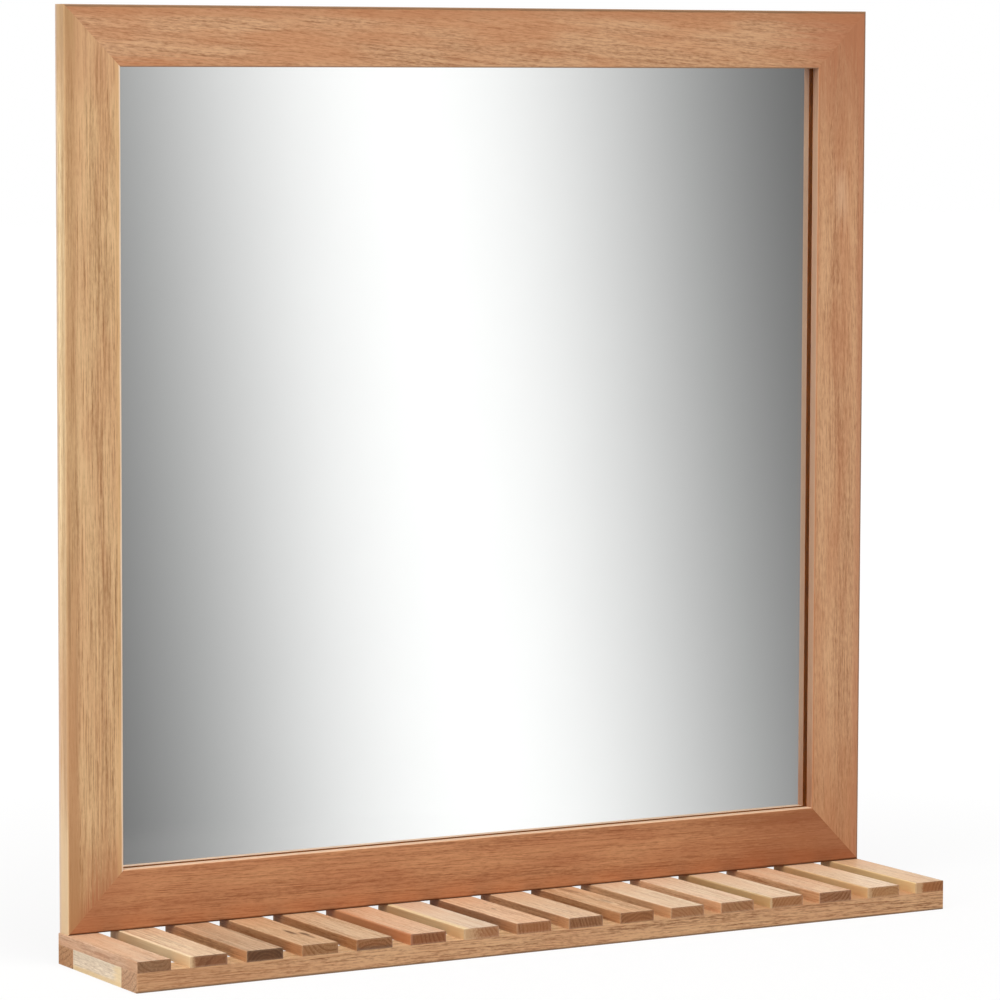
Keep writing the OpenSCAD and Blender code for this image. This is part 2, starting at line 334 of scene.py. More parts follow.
def marks(first):
    """Where the sheet is cut in one direction: at its borders and at the sides of the openings."""
    sides = {round(side, 6) for opening in openings for side in opening[first:first + 2]}
    return sorted({-floor_half, floor_half} | sides)


marks_x, marks_y = marks(0), marks(2)
sheets = []
for column in range(len(marks_x) - 1):
    for row in range(len(marks_y) - 1):
        middle_x = (marks_x[column] + marks_x[column + 1]) / 2
        middle_y = (marks_y[row] + marks_y[row + 1]) / 2
        if not is_open(middle_x, middle_y):
            first = column * len(marks_y) + row
            after = first + len(marks_y)
            sheets.append((first, after, after + 1, first + 1))
floor_mesh = bpy.data.meshes.new("floor")
floor_mesh.from_pydata([(x, y, 0) for x in marks_x for y in marks_y], [], sheets)
floor = bpy.data.objects.new("floor", floor_mesh)
floor.location.z = solid_box[0].z - floor_play
bpy.context.scene.collection.objects.link(floor)
print("floor at z =", round(floor.location.z, 4), "in", len(sheets), "sheets")

# %% [markdown]
# Near the object the floor is paper that takes a shadow. Further out it turns into plain
# white, so that it has no horizon. A studio bends its paper up behind the object for that,
# but here such a wall would hide the back. From below the floor isn't there at all, and in
# the mirror only the part close to the shelf is.

# %% Floor paper
paper_grey = (0.72, 0.71, 0.7, 1)
floor_paper, bench = new_finish("floor_paper")
from_camera, from_gloss, from_glass = bench.rays()
from_middle = bench.point().length()
own_white = bench.rise(from_middle, 0.3, 1.1, 0.8, 1.0) * from_camera
from_below = bench.node("ShaderNodeNewGeometry", {}, {}, "Backfacing")
unseen = from_glass.most(from_gloss * bench.rise(from_middle, 0.38, 0.5)).most(from_below)
paper = bench.node("ShaderNodeBsdfDiffuse", {}, {"Color": paper_grey})
white = bench.node("ShaderNodeEmission", {}, {"Color": (1, 1, 1, 1), "Strength": 1.05})
clear = bench.node("ShaderNodeBsdfTransparent", {}, {})
ground = bench.node("ShaderNodeMixShader", {}, {0: own_white, 1: paper, 2: white})
ground = bench.node("ShaderNodeMixShader", {}, {0: unseen, 1: ground, 2: clear})
bench.node("ShaderNodeOutputMaterial", {}, {"Surface": ground})
floor_mesh.materials.append(floor_paper)
print("the floor wears", floor_paper.name)

# %% [markdown]
# Two soft boxes do the lighting. A large one above makes the tops of the slats the palest
# faces, and one to the left lights the outer side of the left stile, as in the photograph.
# A sun lamp would be simpler, but its shadows are hard, and the photograph's are soft.

# %% Lamps
def soft_box(name, place, target, width, depth, power):
    lamp = bpy.data.lights.new(name, "AREA")
    lamp.shape = "RECTANGLE"
    lamp.size = width
    lamp.size_y = depth
    lamp.energy = power
    box = bpy.data.objects.new(name, lamp)
    box.location = place
    box.rotation_euler = (Vector(target) - Vector(place)).to_track_quat("-Z", "Y").to_euler()
    bpy.context.scene.collection.objects.link(box)
    print(name, "of", power, "watts at", place)


soft_box("lamp_above", place=(-0.3, -0.7, 2.1), target=(0, -0.05, -0.4), width=2.2, depth=1.4, power=47)
soft_box("lamp_left", place=(-2.8, -1.4, 0.8), target=(0, -0.05, -0.2), width=1.6, depth=1.8, power=31)

# %% [markdown]
# ## Dressing a solid
#
# The solids come with plain materials. Their shapes stay as they are, and each solid is
# given one finish in place of the plain one.

# %% Dress a solid
def dress(node, finish):
    """Gives a solid its finish, in every material slot that it has."""
    body = nodes[node].data
    body.materials.clear()
    body.materials.append(finish)
    print(node, "is dressed in", finish.name)


print("to dress:", ", ".join(sorted(nodes)))

# %% [markdown]
# ## Wood
#
# A wood finish can be painted on each face, but then the grain breaks at every edge, and
# the end of a slat shows stripes where the real one shows growth rings. This one is solid:
# it fills space as a tree does. Each board has its own pith, the middle of the trunk, some
# way off to one side. The distance from the pith gives the rings, fibres run along the
# board, and the faces simply cut through both. So the long faces get lines, the ends get
# arcs, and the two agree at the edge without any work.
#
# All lengths in the wood are in millimetres, and a board's own x runs along its grain.
#
# The fibres are noise drawn out along the grain. Broad streaks, short dashes and thin hairs
# may be stretched further by a board's own stroke. Flecks, patches and the slow drift of the
# rings keep their length.

# %% Kinds of fibre
Fibre = namedtuple("Fibre", "waves_along waves_across shifts detail roughness takes_stroke")
fibres = {  # waves are counted in each millimetre
    "drift": Fibre(0.005, 0.035, (0, 1, 2), 2, 0.55, False),
    "streak": Fibre(0.025, 0.72, (1, 2, 0), 3, 0.7, True),
    "dash": Fibre(0.15, 1.6, (0, 1, 2), 3, 0.65, True),
    "hair": Fibre(0.03, 1.4, (2, 1, 0), 1, 0.6, True),
    "fleck": Fibre(0.22, 0.9, (1, 0, 2), 2, 0.6, False),
    "patch": Fibre(0.011, 0.07, (2, 0, 1), 2, 0.6, False),
}
print("kinds of fibre:", ", ".join(fibres))

# %% [markdown]
# A finish has to know the board that it is for. Blender's Generated coordinates would give
# a place in the board, but they stretch with it, and the grain would stretch too. So places
# are measured from the board's middle. Each noise is shifted by numbers that are drawn from
# the board's own seed, so that no two boards show the same wood and each run is the same.

# %% A board and the place of a point in it
board_order = {"x": (0, 1, 2), "y": (1, 0, 2), "z": (2, 0, 1)}  # along the grain first
furthest_shift = 400


def middle_and_half(node):
    """The middle of a solid's box and half of its size, in millimetres."""
    low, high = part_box(node)
    return (low + high) * 500, (high - low) * 500


class Board:
    """One board: the place of a point in it, plain and with its grain leaning, and its faces."""

    def __init__(self, bench, node, along, lean, stroke, seed):
        middle, half = middle_and_half(node)
        draws = random.Random(seed)
        self.bench = bench
        self.order = board_order[along]
        parts = (bench.point() * 1000.0 - middle).parts()
        x, y, z = (parts[i] for i in self.order)
        self.plain = (x, y, z)
        self.leaning = (x, y + x * lean[0], z + x * lean[1])
        self.half = [half[i] for i in self.order]
        self.shifts = [draws.uniform(-furthest_shift, furthest_shift) for _ in range(3)]
        self.run = x * (1 / stroke)  # the way along the grain, as stretched fibres count it
        self.normals = bench.node("ShaderNodeTexCoord", {}, {}, "Normal").parts()
        self.end = self.facing(along)  # 1 on the two sawn ends

    def facing(self, axis):
        """1 on the two faces that look along this axis."""
        return self.bench.rise(abs(self.normals["xyz".index(axis)]), 0.6, 0.9)

    def fibre(self, kind, output=0):
        look = fibres[kind]
        x, y, z = self.leaning
        run = self.run if look.takes_stroke else x
        shift_x, shift_y, shift_z = (self.shifts[i] for i in look.shifts)
        place = self.bench.join(run * look.waves_along + shift_x, y * look.waves_across + shift_y,
                                z * look.waves_across + shift_z)
        return self.bench.grain(place, look.detail, look.roughness, output)


print("a board's noise is shifted by up to", furthest_shift, "units")

# %% [markdown]
# Edges are where hands and cloths rub, so they are paler. The paleness also stands in for
# the highlight that an eased edge catches, so it is partly painted highlight. Blender's
# Pointiness finds edges by a mesh's points, but a board has hardly any. So the distance
# comes from the board's box. On a face, the nearest side of the board is the face itself,
# and the second nearest of the three sides is the edge.

# %% How near a point is to an edge of its board
wood_reach = 1.6


def edge_nearness(bench, place, half, reach=wood_reach):
    """1 on an edge of the board and 0 from reach millimetres away."""
    to_x, to_y, to_z = (size - abs(part) for part, size in zip(place, half))
    gap = to_y.least(to_z).most(to_x.least(to_y.most(to_z)))
    return bench.rise(gap, 0.0, reach, 1.0, 0.0)


print("the edges of wood are worn over", wood_reach, "mm")

# %% [markdown]
# A knot is a branch that the trunk grew round. It could be a form of its own in the board,
# but pushing the rings aside round a line and darkening its heart shows the same. A knot
# lies x millimetres along the board from its middle and y across it. Its size is about the
# radius of the heart, slim draws it out along the grain (0.02 makes it fifty times as long
# as it is wide, which is a dark streak), and dark says how much the heart shows.

# %% Distance from the pith, and knots
Knot = namedtuple("Knot", "x y size slim dark")
push_reach, push_depth = 2.6, 1.6  # how far and how much a knot pushes, in sizes of its own
heart_full, heart_gone = 0.3, 1.1  # where its heart is darkest and where it ends, likewise


def pith_distance(board, pith, wander, knots):
    """The distance from the middle of the trunk, and the dark hearts of the knots."""
    bench = board.bench
    _, y, z = board.leaning
    wave_x, wave_y, wave_z = (board.fibre("drift", "Color") - 0.5).parts()
    off = bench.join(0.0, y + wave_y * (2 * wander) - pith[0], z + wave_z * (2 * wander) - pith[1])
    radius = off.length()
    hearts = 0.0
    for knot in knots:
        spread = bench.join((board.plain[0] - knot.x) * knot.slim, board.plain[1] - knot.y, 0.0)
        reach = spread.length()
        push = bench.rise(reach, 0.0, knot.size * push_reach, knot.size * push_depth, 0.0)
        radius = radius + push
        uneven = reach + wave_x * knot.size
        heart = bench.rise(uneven, knot.size * heart_full, knot.size * heart_gone, knot.dark, 0.0)
        hearts = heart + hearts
    return radius, hearts


print("a knot has", ", ".join(Knot._fields))

# %% [markdown]
# A ring is one year. It starts pale and ends in a thin dark line of late wood, and good and
# bad years differ. A Wave Texture could draw rings, but all of them alike. Here the distance
# from the pith is counted in rings, and a noise along that count makes the years differ. The
# line is faint on the long faces and plain on the ends, where the cut goes straight across
# the fibres.

# %% Growth rings
def growth_rings(board, radius, gap, streak):
    """The late wood alone, and the tone of the whole year."""
    bench = board.bench
    turn = radius / gap + streak * 0.25
    year = bench.node("ShaderNodeTexNoise", {"noise_dimensions": "1D"},
                      {"W": turn, "Scale": 0.9, "Detail": 2.0})
    late = turn.fraction() ** 3.0 * bench.rise(year, 0.3, 0.6, 0.3, 1.0)
    growth = bench.rise(year, 0.3, 0.7) * (0.65 - board.end * 0.45) + late * (0.45 + board.end * 1.45)
    return late, growth


print("late wood is sharpest on the ends")

# %% [markdown]
# Where a maker would say that an edge is pale, a flank is yellow or a tip takes its
# neighbour's colour, a region near that side is painted. A painted picture could do this,
# but words can be read and changed. A word such as `left(10, 4)` means within 10 mm of the
# left side, fading over the last 4, and a region lies near all of the sides that it names.
# So `left(0.6)` is little more than the left face alone. The border follows the streaks, or
# it would look ruled.

# %% Painted regions
def side(axis, sign):
    """Makes the word for one side of a board."""
    def near(width, soft=None):
        return axis, sign, width, width / 2 if soft is None else soft

    return near


left, right = side("x", -1), side("x", 1)
front, back = side("y", -1), side("y", 1)
bottom, top = side("z", -1), side("z", 1)


def paint(colour, share, *sides):
    """A tone, how strongly it covers, and the sides that it keeps to."""
    return colour, share, sides


def paint_regions(board, colour, regions, streak):
    bench = board.bench
    for new_colour, share, sides in regions:
        for axis, sign, width, soft in sides:
            part = board.order.index("xyz".index(axis))
            inward = board.half[part] - board.plain[part] * sign + (streak - 0.5) * (soft * 1.8)
            share = bench.rise(inward, width - soft, width, 1.0, 0.0) * share
        colour = bench.mix(share, colour, new_colour)
    return colour


print("left(10) says", left(10))

# %% [markdown]
# The wood itself takes two tones for the rings, a blush that drifts over the board in
# patches, and the dark hollows of open pores. Sawn faces differ, so each pair of faces may
# have a tint of its own: the ends drink more oil and turn darker. One list says what
# happens where a board says nothing.
#
# Most of a noise lies between 0.3 and 0.7. So a rise from 0.58 to 0.7 keeps only its peaks,
# which makes pores, and one from 0.38 to 0.68 makes soft patches.

# %% The usual look of a board
usual_look = dict(
    blush=None, blush_share=0.35,
    lean=(0, 0),  # how far the grain leans over to y and z in each millimetre
    pith=(25, -70),  # where the middle of the trunk lies beside the board
    gap=3.2,  # between two rings
    wander=4.0,  # how far the rings wander
    rings=0.5, streaks=0.5, dashes=0.5, hairs=0.5, flecks=0.4,  # how strongly each shows
    stroke=1.0,  # how much the fibres are stretched
    faces={},  # a tint for each pair of faces
    regions=(), knots=(),
    # The paleness of the worn edges is partly wear and partly painted highlight.
    edges=0.16,  # how pale the worn edges are
    seed=1,
)
pore_stain = Vector((0.6, 0.45, 0.34))
heart_shade, worn_and_highlight_shade = 0.4, 1.12
oiled_roughness = 0.46
print("a board may change", len(usual_look), "things")

# %% Colour of wood
def wood_colour(board, look, growth, fine, pore, hearts, worn, patch, streak):
    bench = board.bench
    depth = growth * look.rings * (1 + board.end) + fine * (1 - board.end * 0.4) + 0.18
    colour = bench.mix(bench.rise(depth, -0.1, 1.0), look.pale, look.deep)
    if look.blush:
        colour = bench.mix(patch * look.blush_share, colour, look.blush)
    colour = bench.mix(pore, colour, colour * pore_stain)
    if look.knots:
        colour = bench.mix(hearts, colour, shade(look.deep, heart_shade))
    for axis, tint in look.faces.items():
        colour = bench.mix(board.facing(axis), colour, colour * Vector(tint))
    colour = paint_regions(board, colour, look.regions, streak)
    # Worn edges are painted paler: partly wear, partly painted highlight.
    return bench.mix(worn * look.edges, colour, shade(look.pale, worn_and_highlight_shade))


print("worn edges are", worn_and_highlight_shade, "times as light as the pale tone")

# %% [markdown]
# Everything comes together in one function, so that a board is dressed in a single call.
# Streaks, dashes and flecks make the fine grain, and hairs and the peaks of dashes make the
# pores. Wood is rougher in its pores and on its ends, and smoother where it is rubbed.

# %% Wood
def wood(node, name, along, pale, deep, **changes):
    """Dresses a solid in wood whose grain runs along an axis. Changes differ from the usual look."""
    look = SimpleNamespace(pale=pale, deep=deep, **{**usual_look, **changes})
    finish, bench = new_finish(name)
    board = Board(bench, node, along, look.lean, look.stroke, look.seed)
    radius, hearts = pith_distance(board, look.pith, look.wander, look.knots)
    streak, dash, fleck = board.fibre("streak"), board.fibre("dash"), board.fibre("fleck")
    hair = bench.rise(board.fibre("hair"), 0.58, 0.66) * bench.rise(dash, 0.35, 0.5)
    late, growth = growth_rings(board, radius, look.gap, streak)
    fine = ((streak - 0.5) * (2 * look.streaks) + (dash - 0.5) * (2 * look.dashes)
            + (fleck - 0.5) * (2 * look.flecks))
    pore = (bench.rise(dash, 0.58, 0.7) * 0.5 + hair).least(1.0) * look.hairs * (1 - board.end)
    worn = edge_nearness(bench, board.plain, board.half) * bench.rise(dash, 0.3, 0.6, 0.4, 1.0)
    patch = bench.rise(board.fibre("patch"), 0.38, 0.68)
    bench.surface({
        "Base Color": wood_colour(board, look, growth, fine, pore, hearts, worn, patch, streak),
        "Roughness": (oiled_roughness + (streak - 0.5) * 0.2 + pore * 0.16 + board.end * 0.14
                      - worn * 0.07 + patch * 0.05),
        "Normal": bench.bump(fine * 0.02 - pore * 0.04 - late * 0.012, 0.7),
        "IOR": 1.42,
        "Specular IOR Level": 0.4,
    })
    dress(node, finish)


print("wood is ready for", len(nodes), "nodes")

# %% [markdown]
# ## The frame
#
# Each side of the frame was cut from another board, and it shows. Four finishes with one
# recipe give that. Near the mitres the boards come close to each other in colour, so a tip
# takes some of its neighbour's tone. The joint is tight, and only the grain that changes
# its direction shows it.
#
# The lip's back can't be seen straight on, and it lies in shade. It shows as a dark warm
# line in the mirror, beside the edge of the glass, so its colour is painted for that
# reflection: a bright orange, not the wood's own, which in shade shows as that line. It
# reaches from the frame's inner side as far as the step for the glass does, and lies just
# before the glass.
#
# The left stile is honey coloured with fine upright streaks. Its outer side faces the left
# lamp and is painted paler still, as painted light, so it is the palest long face of all.
# The edge beside the glass is painted pale as well, a painted highlight on its eased edge.

# %% Left stile
glass_step = 7.3
lip_back = 0.2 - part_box("mirror_glass")[0].y * 1000


# Painted for its reflection: the shaded lip's back gets an orange chosen for how it looks in the mirror.
def behind_lip(inner_side):
    return paint(tone(236, 128, 46), 1.0, inner_side(glass_step, 0.2), back(lip_back, 0.1))


wood("frame_left_stile", "left_stile_wood", "z", tone(228, 188, 140), tone(160, 114, 72),
     blush=tone(208, 152, 108), blush_share=0.3, lean=(0.002, 0), pith=(30, 60), gap=4.2, rings=0.3,
     streaks=0.85, dashes=0.45, hairs=0.7, flecks=0.3, stroke=1.6, seed=3,
     # Painted light: the tint on the x faces makes the outer side paler.
     faces={"x": (1.36, 1.6, 1.74)},
     knots=(Knot(-75, -17.2, size=1.0, slim=0.02, dark=0.5),
            Knot(-140, -13, size=1.4, slim=0.03, dark=0.25)),
     regions=(
         paint(tone(182, 120, 80), 0.9, bottom(64, 50), right(36, 20)),
         paint(tone(180, 112, 74), 0.8, bottom(30, 26)),
         paint(tone(198, 138, 96), 0.55, bottom(250, 120), left(9, 4)),
         paint(tone(202, 150, 110), 0.45, top(70)),
         paint(tone(172, 124, 78), 0.4, bottom(90, 60), left(15, 6)),
         paint(tone(176, 138, 92), 0.5, top(60, 50), left(12, 8)),
         paint(tone(184, 140, 94), 0.4, left(10), front(8)),
         # Painted light: the lower part of the outer side, paler still.
         paint(tone(240, 208, 164), 0.8, bottom(110, 60), left(0.6)),
         paint(tone(220, 176, 122), 0.45, right(5)),
         paint(tone(216, 190, 174), 0.6, back(3.5, 2), left(0.5)),
         # Painted highlight: a pale line on the eased edge beside the glass.
         paint(tone(246, 224, 200), 0.85, right(1.5, 0.6), front(4)),
         behind_lip(right)))

# %% [markdown]
# The right stile is pinker, with a small knot near its top and a paler patch below it. Such
# marks could be left to chance, as the grain is. But the eye looks for them when it compares
# two pictures, so they have places of their own.

# %% Right stile
wood("frame_right_stile", "right_stile_wood", "z", tone(221, 173, 130), tone(162, 106, 70),
     blush=tone(194, 128, 88), blush_share=0.4, lean=(0.02, 0), pith=(-36, 70), gap=5.0, rings=0.3,
     streaks=0.55, dashes=0.45, hairs=0.45, seed=8,
     knots=(Knot(276, 5, size=6.0, slim=0.5, dark=0.2),
            Knot(268, 10, size=1.1, slim=0.06, dark=0.35)),
     regions=(
         paint(tone(186, 122, 76), 0.4, bottom(120, 100)),
         paint(tone(174, 114, 80), 0.65, top(130, 110)),
         paint(tone(188, 122, 88), 0.5, right(8, 5)),
         paint(tone(184, 116, 78), 0.6, top(60, 50)),
         paint(tone(232, 190, 152), 0.5, top(150, 24), bottom(482, 24), left(28, 8), right(27, 8)),
         paint(tone(188, 116, 70), 0.6, left(1.6, 0.8)),
         paint(tone(200, 160, 130), 1.0, left(0.4, 0.3)),
         paint(tone(170, 124, 98), 0.8, top(90, 60), left(0.4, 0.3)),
         paint(tone(176, 120, 86), 0.8, bottom(110, 80), left(0.4, 0.3)),
         # Painted shade: a dark line along the outer edge of the front face.
         paint(tone(140, 108, 84), 0.8, right(2.0, 1.0), front(2)),
         behind_lip(left)))

# %% [markdown]
# The top rail is close to the right stile in tone, and redder at its right end. It was sawn
# a little askew, so its grain runs a little downhill to the right. A turned picture would
# show that on the front face alone. Here the rings themselves lean.

# %% Top rail
wood("frame_top_rail", "top_rail_wood", "x", tone(216, 169, 128), tone(156, 104, 68),
     blush=tone(198, 132, 88), blush_share=0.5, lean=(0, 0.08), pith=(55, 40), gap=3.6, rings=0.25,
     streaks=0.6, dashes=0.6, hairs=0.4, flecks=0.55, seed=12,
     regions=(
         paint(tone(182, 112, 76), 0.7, right(90, 80)),
         paint(tone(186, 122, 80), 0.45, top(9)),
         paint(tone(192, 120, 76), 0.5, bottom(10, 8), left(150, 120)),
         # Painted shade: a dark line along the top edge of the front face.
         paint(tone(120, 92, 64), 0.85, top(2.0, 1.0), front(2)),
         # Painted shadow under the lip: a dark line along the lower edge.
         paint(tone(136, 104, 78), 0.6, bottom(1.0, 0.5)),
         behind_lip(bottom)))

# %% [markdown]
# The bottom rail is the reddest. Its upper edge is painted pale, as painted light on the
# face that looks up, and a painted shadow runs as a dark line along its foot, where it
# stands on the slats. Light alone draws that shadow too thin, because the joint is tight,
# so it is painted.

# %% Bottom rail
wood("frame_bottom_rail", "bottom_rail_wood", "x", tone(215, 156, 110), tone(148, 88, 52),
     blush=tone(176, 102, 64), blush_share=0.3, lean=(0, 0.02), pith=(60, -30), gap=5.5, rings=0.25,
     streaks=0.55, dashes=0.45, hairs=0.55, flecks=0.35, stroke=1.3, seed=21,
     regions=(
         paint(tone(182, 106, 62), 0.35, bottom(12)),
         paint(tone(172, 110, 72), 0.5, left(60, 50)),
         paint(tone(148, 98, 58), 0.5, right(150, 120), top(18, 14)),
         paint(tone(156, 88, 50), 0.65, right(180, 160)),
         # Painted light on the upper face.
         paint(tone(238, 200, 164), 0.9, top(0.5, 0.4)),
         # Painted shadow: a dark line along the foot.
         paint(tone(92, 50, 22), 0.95, bottom(1.7, 1.0), front(2)),
         behind_lip(top)))

# %% [markdown]
# ## The shelf
#
# Two long rails carry sixteen slats, and a short piece closes the gap between the rails at
# each end. The rails are of one sort, with many short strokes. Their ends differ in tone,
# as the front one drank less oil. Their tops and bottoms are painted paler, a painted sheen
# for the tops, and a painted shadow runs as a dark line along the foot.

# %% Rails
rails = (("shelf_front_rail", 31, (0.905, 0.94, 1.05)), ("shelf_back_rail", 37, (0.78, 0.7, 0.62)))
for rail, seed, end_tint in rails:
    wood(rail, rail + "_wood", "x", tone(218, 172, 128), tone(148, 100, 62),
         blush=tone(196, 138, 98), blush_share=0.3, lean=(0, 0.01), pith=(22, 34), gap=3.4, rings=0.13,
         streaks=1.0, dashes=1.25, hairs=0.75, flecks=0.8, stroke=1.9, seed=seed,
         # The tint on the z faces paints top and bottom paler: a painted sheen.
         faces={"x": end_tint, "z": (1.14, 1.27, 1.32)},
         regions=(
             paint(tone(184, 130, 88), 0.4, left(160, 130), front(2)),
             paint(tone(196, 146, 104), 0.8, right(270, 120), top(0.4)),
             # Painted shadow: a dark line along the foot of the front face.
             paint(tone(116, 90, 64), 0.85, bottom(1.6, 0.9), front(2))))

# %% [markdown]
# The end pieces are short and almost white, with a yellower foot and front. They could
# share a slat's finish, but theirs is the palest wood here.

# %% End pieces
for closing, seed in (("shelf_left_end", 41), ("shelf_right_end", 43)):
    wood(closing, closing + "_wood", "y", tone(252, 234, 208), tone(200, 175, 148),
         blush=tone(206, 184, 156), blush_share=0.5, pith=(60, 25), gap=5.0, rings=0.3, streaks=0.3,
         dashes=0.7, hairs=0.1, seed=seed,
         regions=(
             paint(tone(232, 198, 140), 0.7, bottom(4)),
             paint(tone(246, 214, 156), 0.6, front(14, 10))))

# %% [markdown]
# ## The slats
#
# The slats come from many boards, from cream to tan, and hardly two are alike. Their ends
# show arcs, stripes or slanted rings, as each was sawn from another part of the trunk. A
# texture for each would be much work. Here a slat is described by its tone, by where its
# pith lies, by its knots, and by the tints of its sides and ends. A tint multiplies the
# wood's colour, so (0.8, 0.61, 0.45) makes it darker and redder. The side tints are painted
# shade: they darken the sides, which face into the narrow gaps between the slats.

# %% Slat tones
peach = dict(pale=tone(242, 206, 172), deep=tone(198, 148, 110), blush=tone(230, 178, 138))
cream = dict(pale=tone(244, 220, 190), deep=tone(210, 174, 140), blush=tone(238, 202, 168))
tan = dict(pale=tone(232, 198, 160), deep=tone(180, 134, 96), blush=tone(220, 172, 130))
sand = dict(pale=tone(238, 208, 176), deep=tone(190, 148, 114), blush=tone(228, 188, 150))
grey_tan = dict(pale=tone(214, 184, 151), deep=tone(166, 129, 98), blush=tone(198, 156, 121))
# Side tints: painted shade of the narrow gaps between the slats.
faint_gap_shade, mid_gap_shade, plain_gap_shade = (0.9, 0.72, 0.56), (0.8, 0.61, 0.45), (0.7, 0.51, 0.38)
plain_end = (0.38, 0.24, 0.15)
print("slat tones: peach, cream, tan, sand, grey_tan")

# %% [markdown]
# Some slats have a flank of yellow sapwood or a redder one. It colours the whole left face
# and the part of the end beside it, and is painted browner toward the frame, as painted
# shade. The other slats have a warm front corner instead, a painted glow of the light that
# reaches the front of their sides, and all of them are painted browner where the frame
# shades them.

# %% Flanks
yellow_flank, red_flank, olive_flank = tone(238, 206, 150), tone(200, 128, 82), tone(202, 169, 116)
# Painted light on the front of each slat's left side.
front_bounce_light = paint(tone(214, 158, 112), 0.35, front(26, 18), left(0.5))
# Painted shade on the slats' tops near the frame.
under_frame = paint(tone(206, 148, 104), 0.3, back(62, 50), top(0.5))


def flank(colour, width=9.0, soft=3.0, beside=tone(204, 164, 122)):
    return (paint(colour, 0.85, left(1.6)),
            # Painted shade: the left face browner toward the frame.
            paint(tone(176, 134, 88), 0.5, back(80, 60), left(0.6)),
            paint(beside, 0.8, left(width, soft), front(0.4)))


print("a flank has", len(flank(yellow_flank)), "painted regions")

# %% [markdown]
# From the left, the first slat is pinkish grey with wandering rings. The second is cream
# with thin dark streaks and a yellow flank, and the third the greyest, with close rings.
# The fourth has the plainest knots, and the fifth a dark foot at its front end.

# %% Slats 1 to 5
slats = [
    dict(peach, pale=tone(226, 197, 168), deep=tone(186, 146, 114), rings=0.5, pith=(3, 9), wander=7.0,
         ends=(0.42, 0.32, 0.23), sides=(0.88, 0.76, 0.68), edges=0.04),
    dict(cream, pale=tone(238, 213, 179), deep=tone(196, 158, 124), rings=0.5, pith=(18, -16), gap=5.0,
         ends=(0.31, 0.175, 0.105), sides=faint_gap_shade,
         knots=(Knot(16, -6.5, size=0.8, slim=0.018, dark=0.4),
                Knot(24, -3.2, size=0.8, slim=0.02, dark=0.45),
                Knot(12, 0.4, size=0.9, slim=0.018, dark=0.4)),
         regions=(*flank(tone(242, 216, 172), 4.0),
                  # Painted highlight along the top of the left edge.
                  paint(tone(248, 222, 186), 0.7, left(2.5, 1.2), top(0.4)))),
    dict(grey_tan, pith=(1, -9), gap=2.4, rings=0.8, blush_share=0.7,
         ends=(0.24, 0.155, 0.095), sides=(0.9, 0.74, 0.57)),
    dict(tan, pale=tone(219, 184, 146), pith=(8, 12), rings=0.4,
         ends=(0.52, 0.39, 0.27), sides=(0.68, 0.53, 0.4),
         knots=(Knot(-13, 1.8, size=2.4, slim=0.2, dark=1.0),
                Knot(-22, 7.2, size=2.6, slim=0.32, dark=1.0),
                Knot(-32, 6.4, size=2.0, slim=0.3, dark=0.6))),
    dict(tan, pale=tone(224, 193, 158), pith=(0, -14), rings=0.45, wander=8.0,
         ends=(0.46, 0.3, 0.19), sides=(0.67, 0.5, 0.35),
         regions=(paint(tone(88, 62, 46), 0.6, bottom(3.0, 2.4), front(0.4)),)),
]
print(len(slats), "slats described, from the left")

# %% [markdown]
# The sixth slat has a red flank and the seventh a wide yellow one, which fades slowly. The
# eighth stands dark at its side, and the eighth and tenth have small knots.

# %% Slats 6 to 10
slats += [
    dict(peach, pale=tone(236, 201, 169), pith=(30, 8), ends=(0.36, 0.21, 0.12), sides=faint_gap_shade,
         regions=(*flank(red_flank, 3.0, 2.0, tone(146, 92, 62)),
                  paint(red_flank, 0.4, left(9, 8), back(80, 60)))),
    dict(cream, pale=tone(234, 212, 188), pith=(24, 14), ends=(0.5, 0.3, 0.18), sides=(0.84, 0.66, 0.5),
         regions=(*flank(tone(226, 192, 142), 15.0, 12.0),
                  paint(tone(244, 218, 168), 0.6, left(4.5, 2.0), top(0.5)))),
    dict(peach, pith=(-50, -8), gap=2.4, ends=(0.44, 0.29, 0.18), sides=(0.43, 0.31, 0.23),
         knots=(Knot(-3, 1.2, size=1.5, slim=0.4, dark=0.6),
                Knot(16, 6, size=1.2, slim=0.4, dark=0.4))),
    dict(sand, pith=(60, 20), gap=2.2, ends=(0.37, 0.23, 0.14), sides=(0.7, 0.52, 0.38)),
    dict(tan, pith=(5, -22), rings=0.6, wander=8.0, blush_share=0.6,
         ends=(0.44, 0.29, 0.18), sides=(0.68, 0.52, 0.38),
         knots=(Knot(33, 1, size=3.0, slim=0.3, dark=0.6),
                Knot(26, 3.5, size=1.6, slim=0.16, dark=0.5),
                Knot(-14, 2.6, size=2.2, slim=0.25, dark=0.4))),
]
print(len(slats), "slats described")

# %% [markdown]
# The slats at the right are the palest and the calmest, and three of them have a flank.

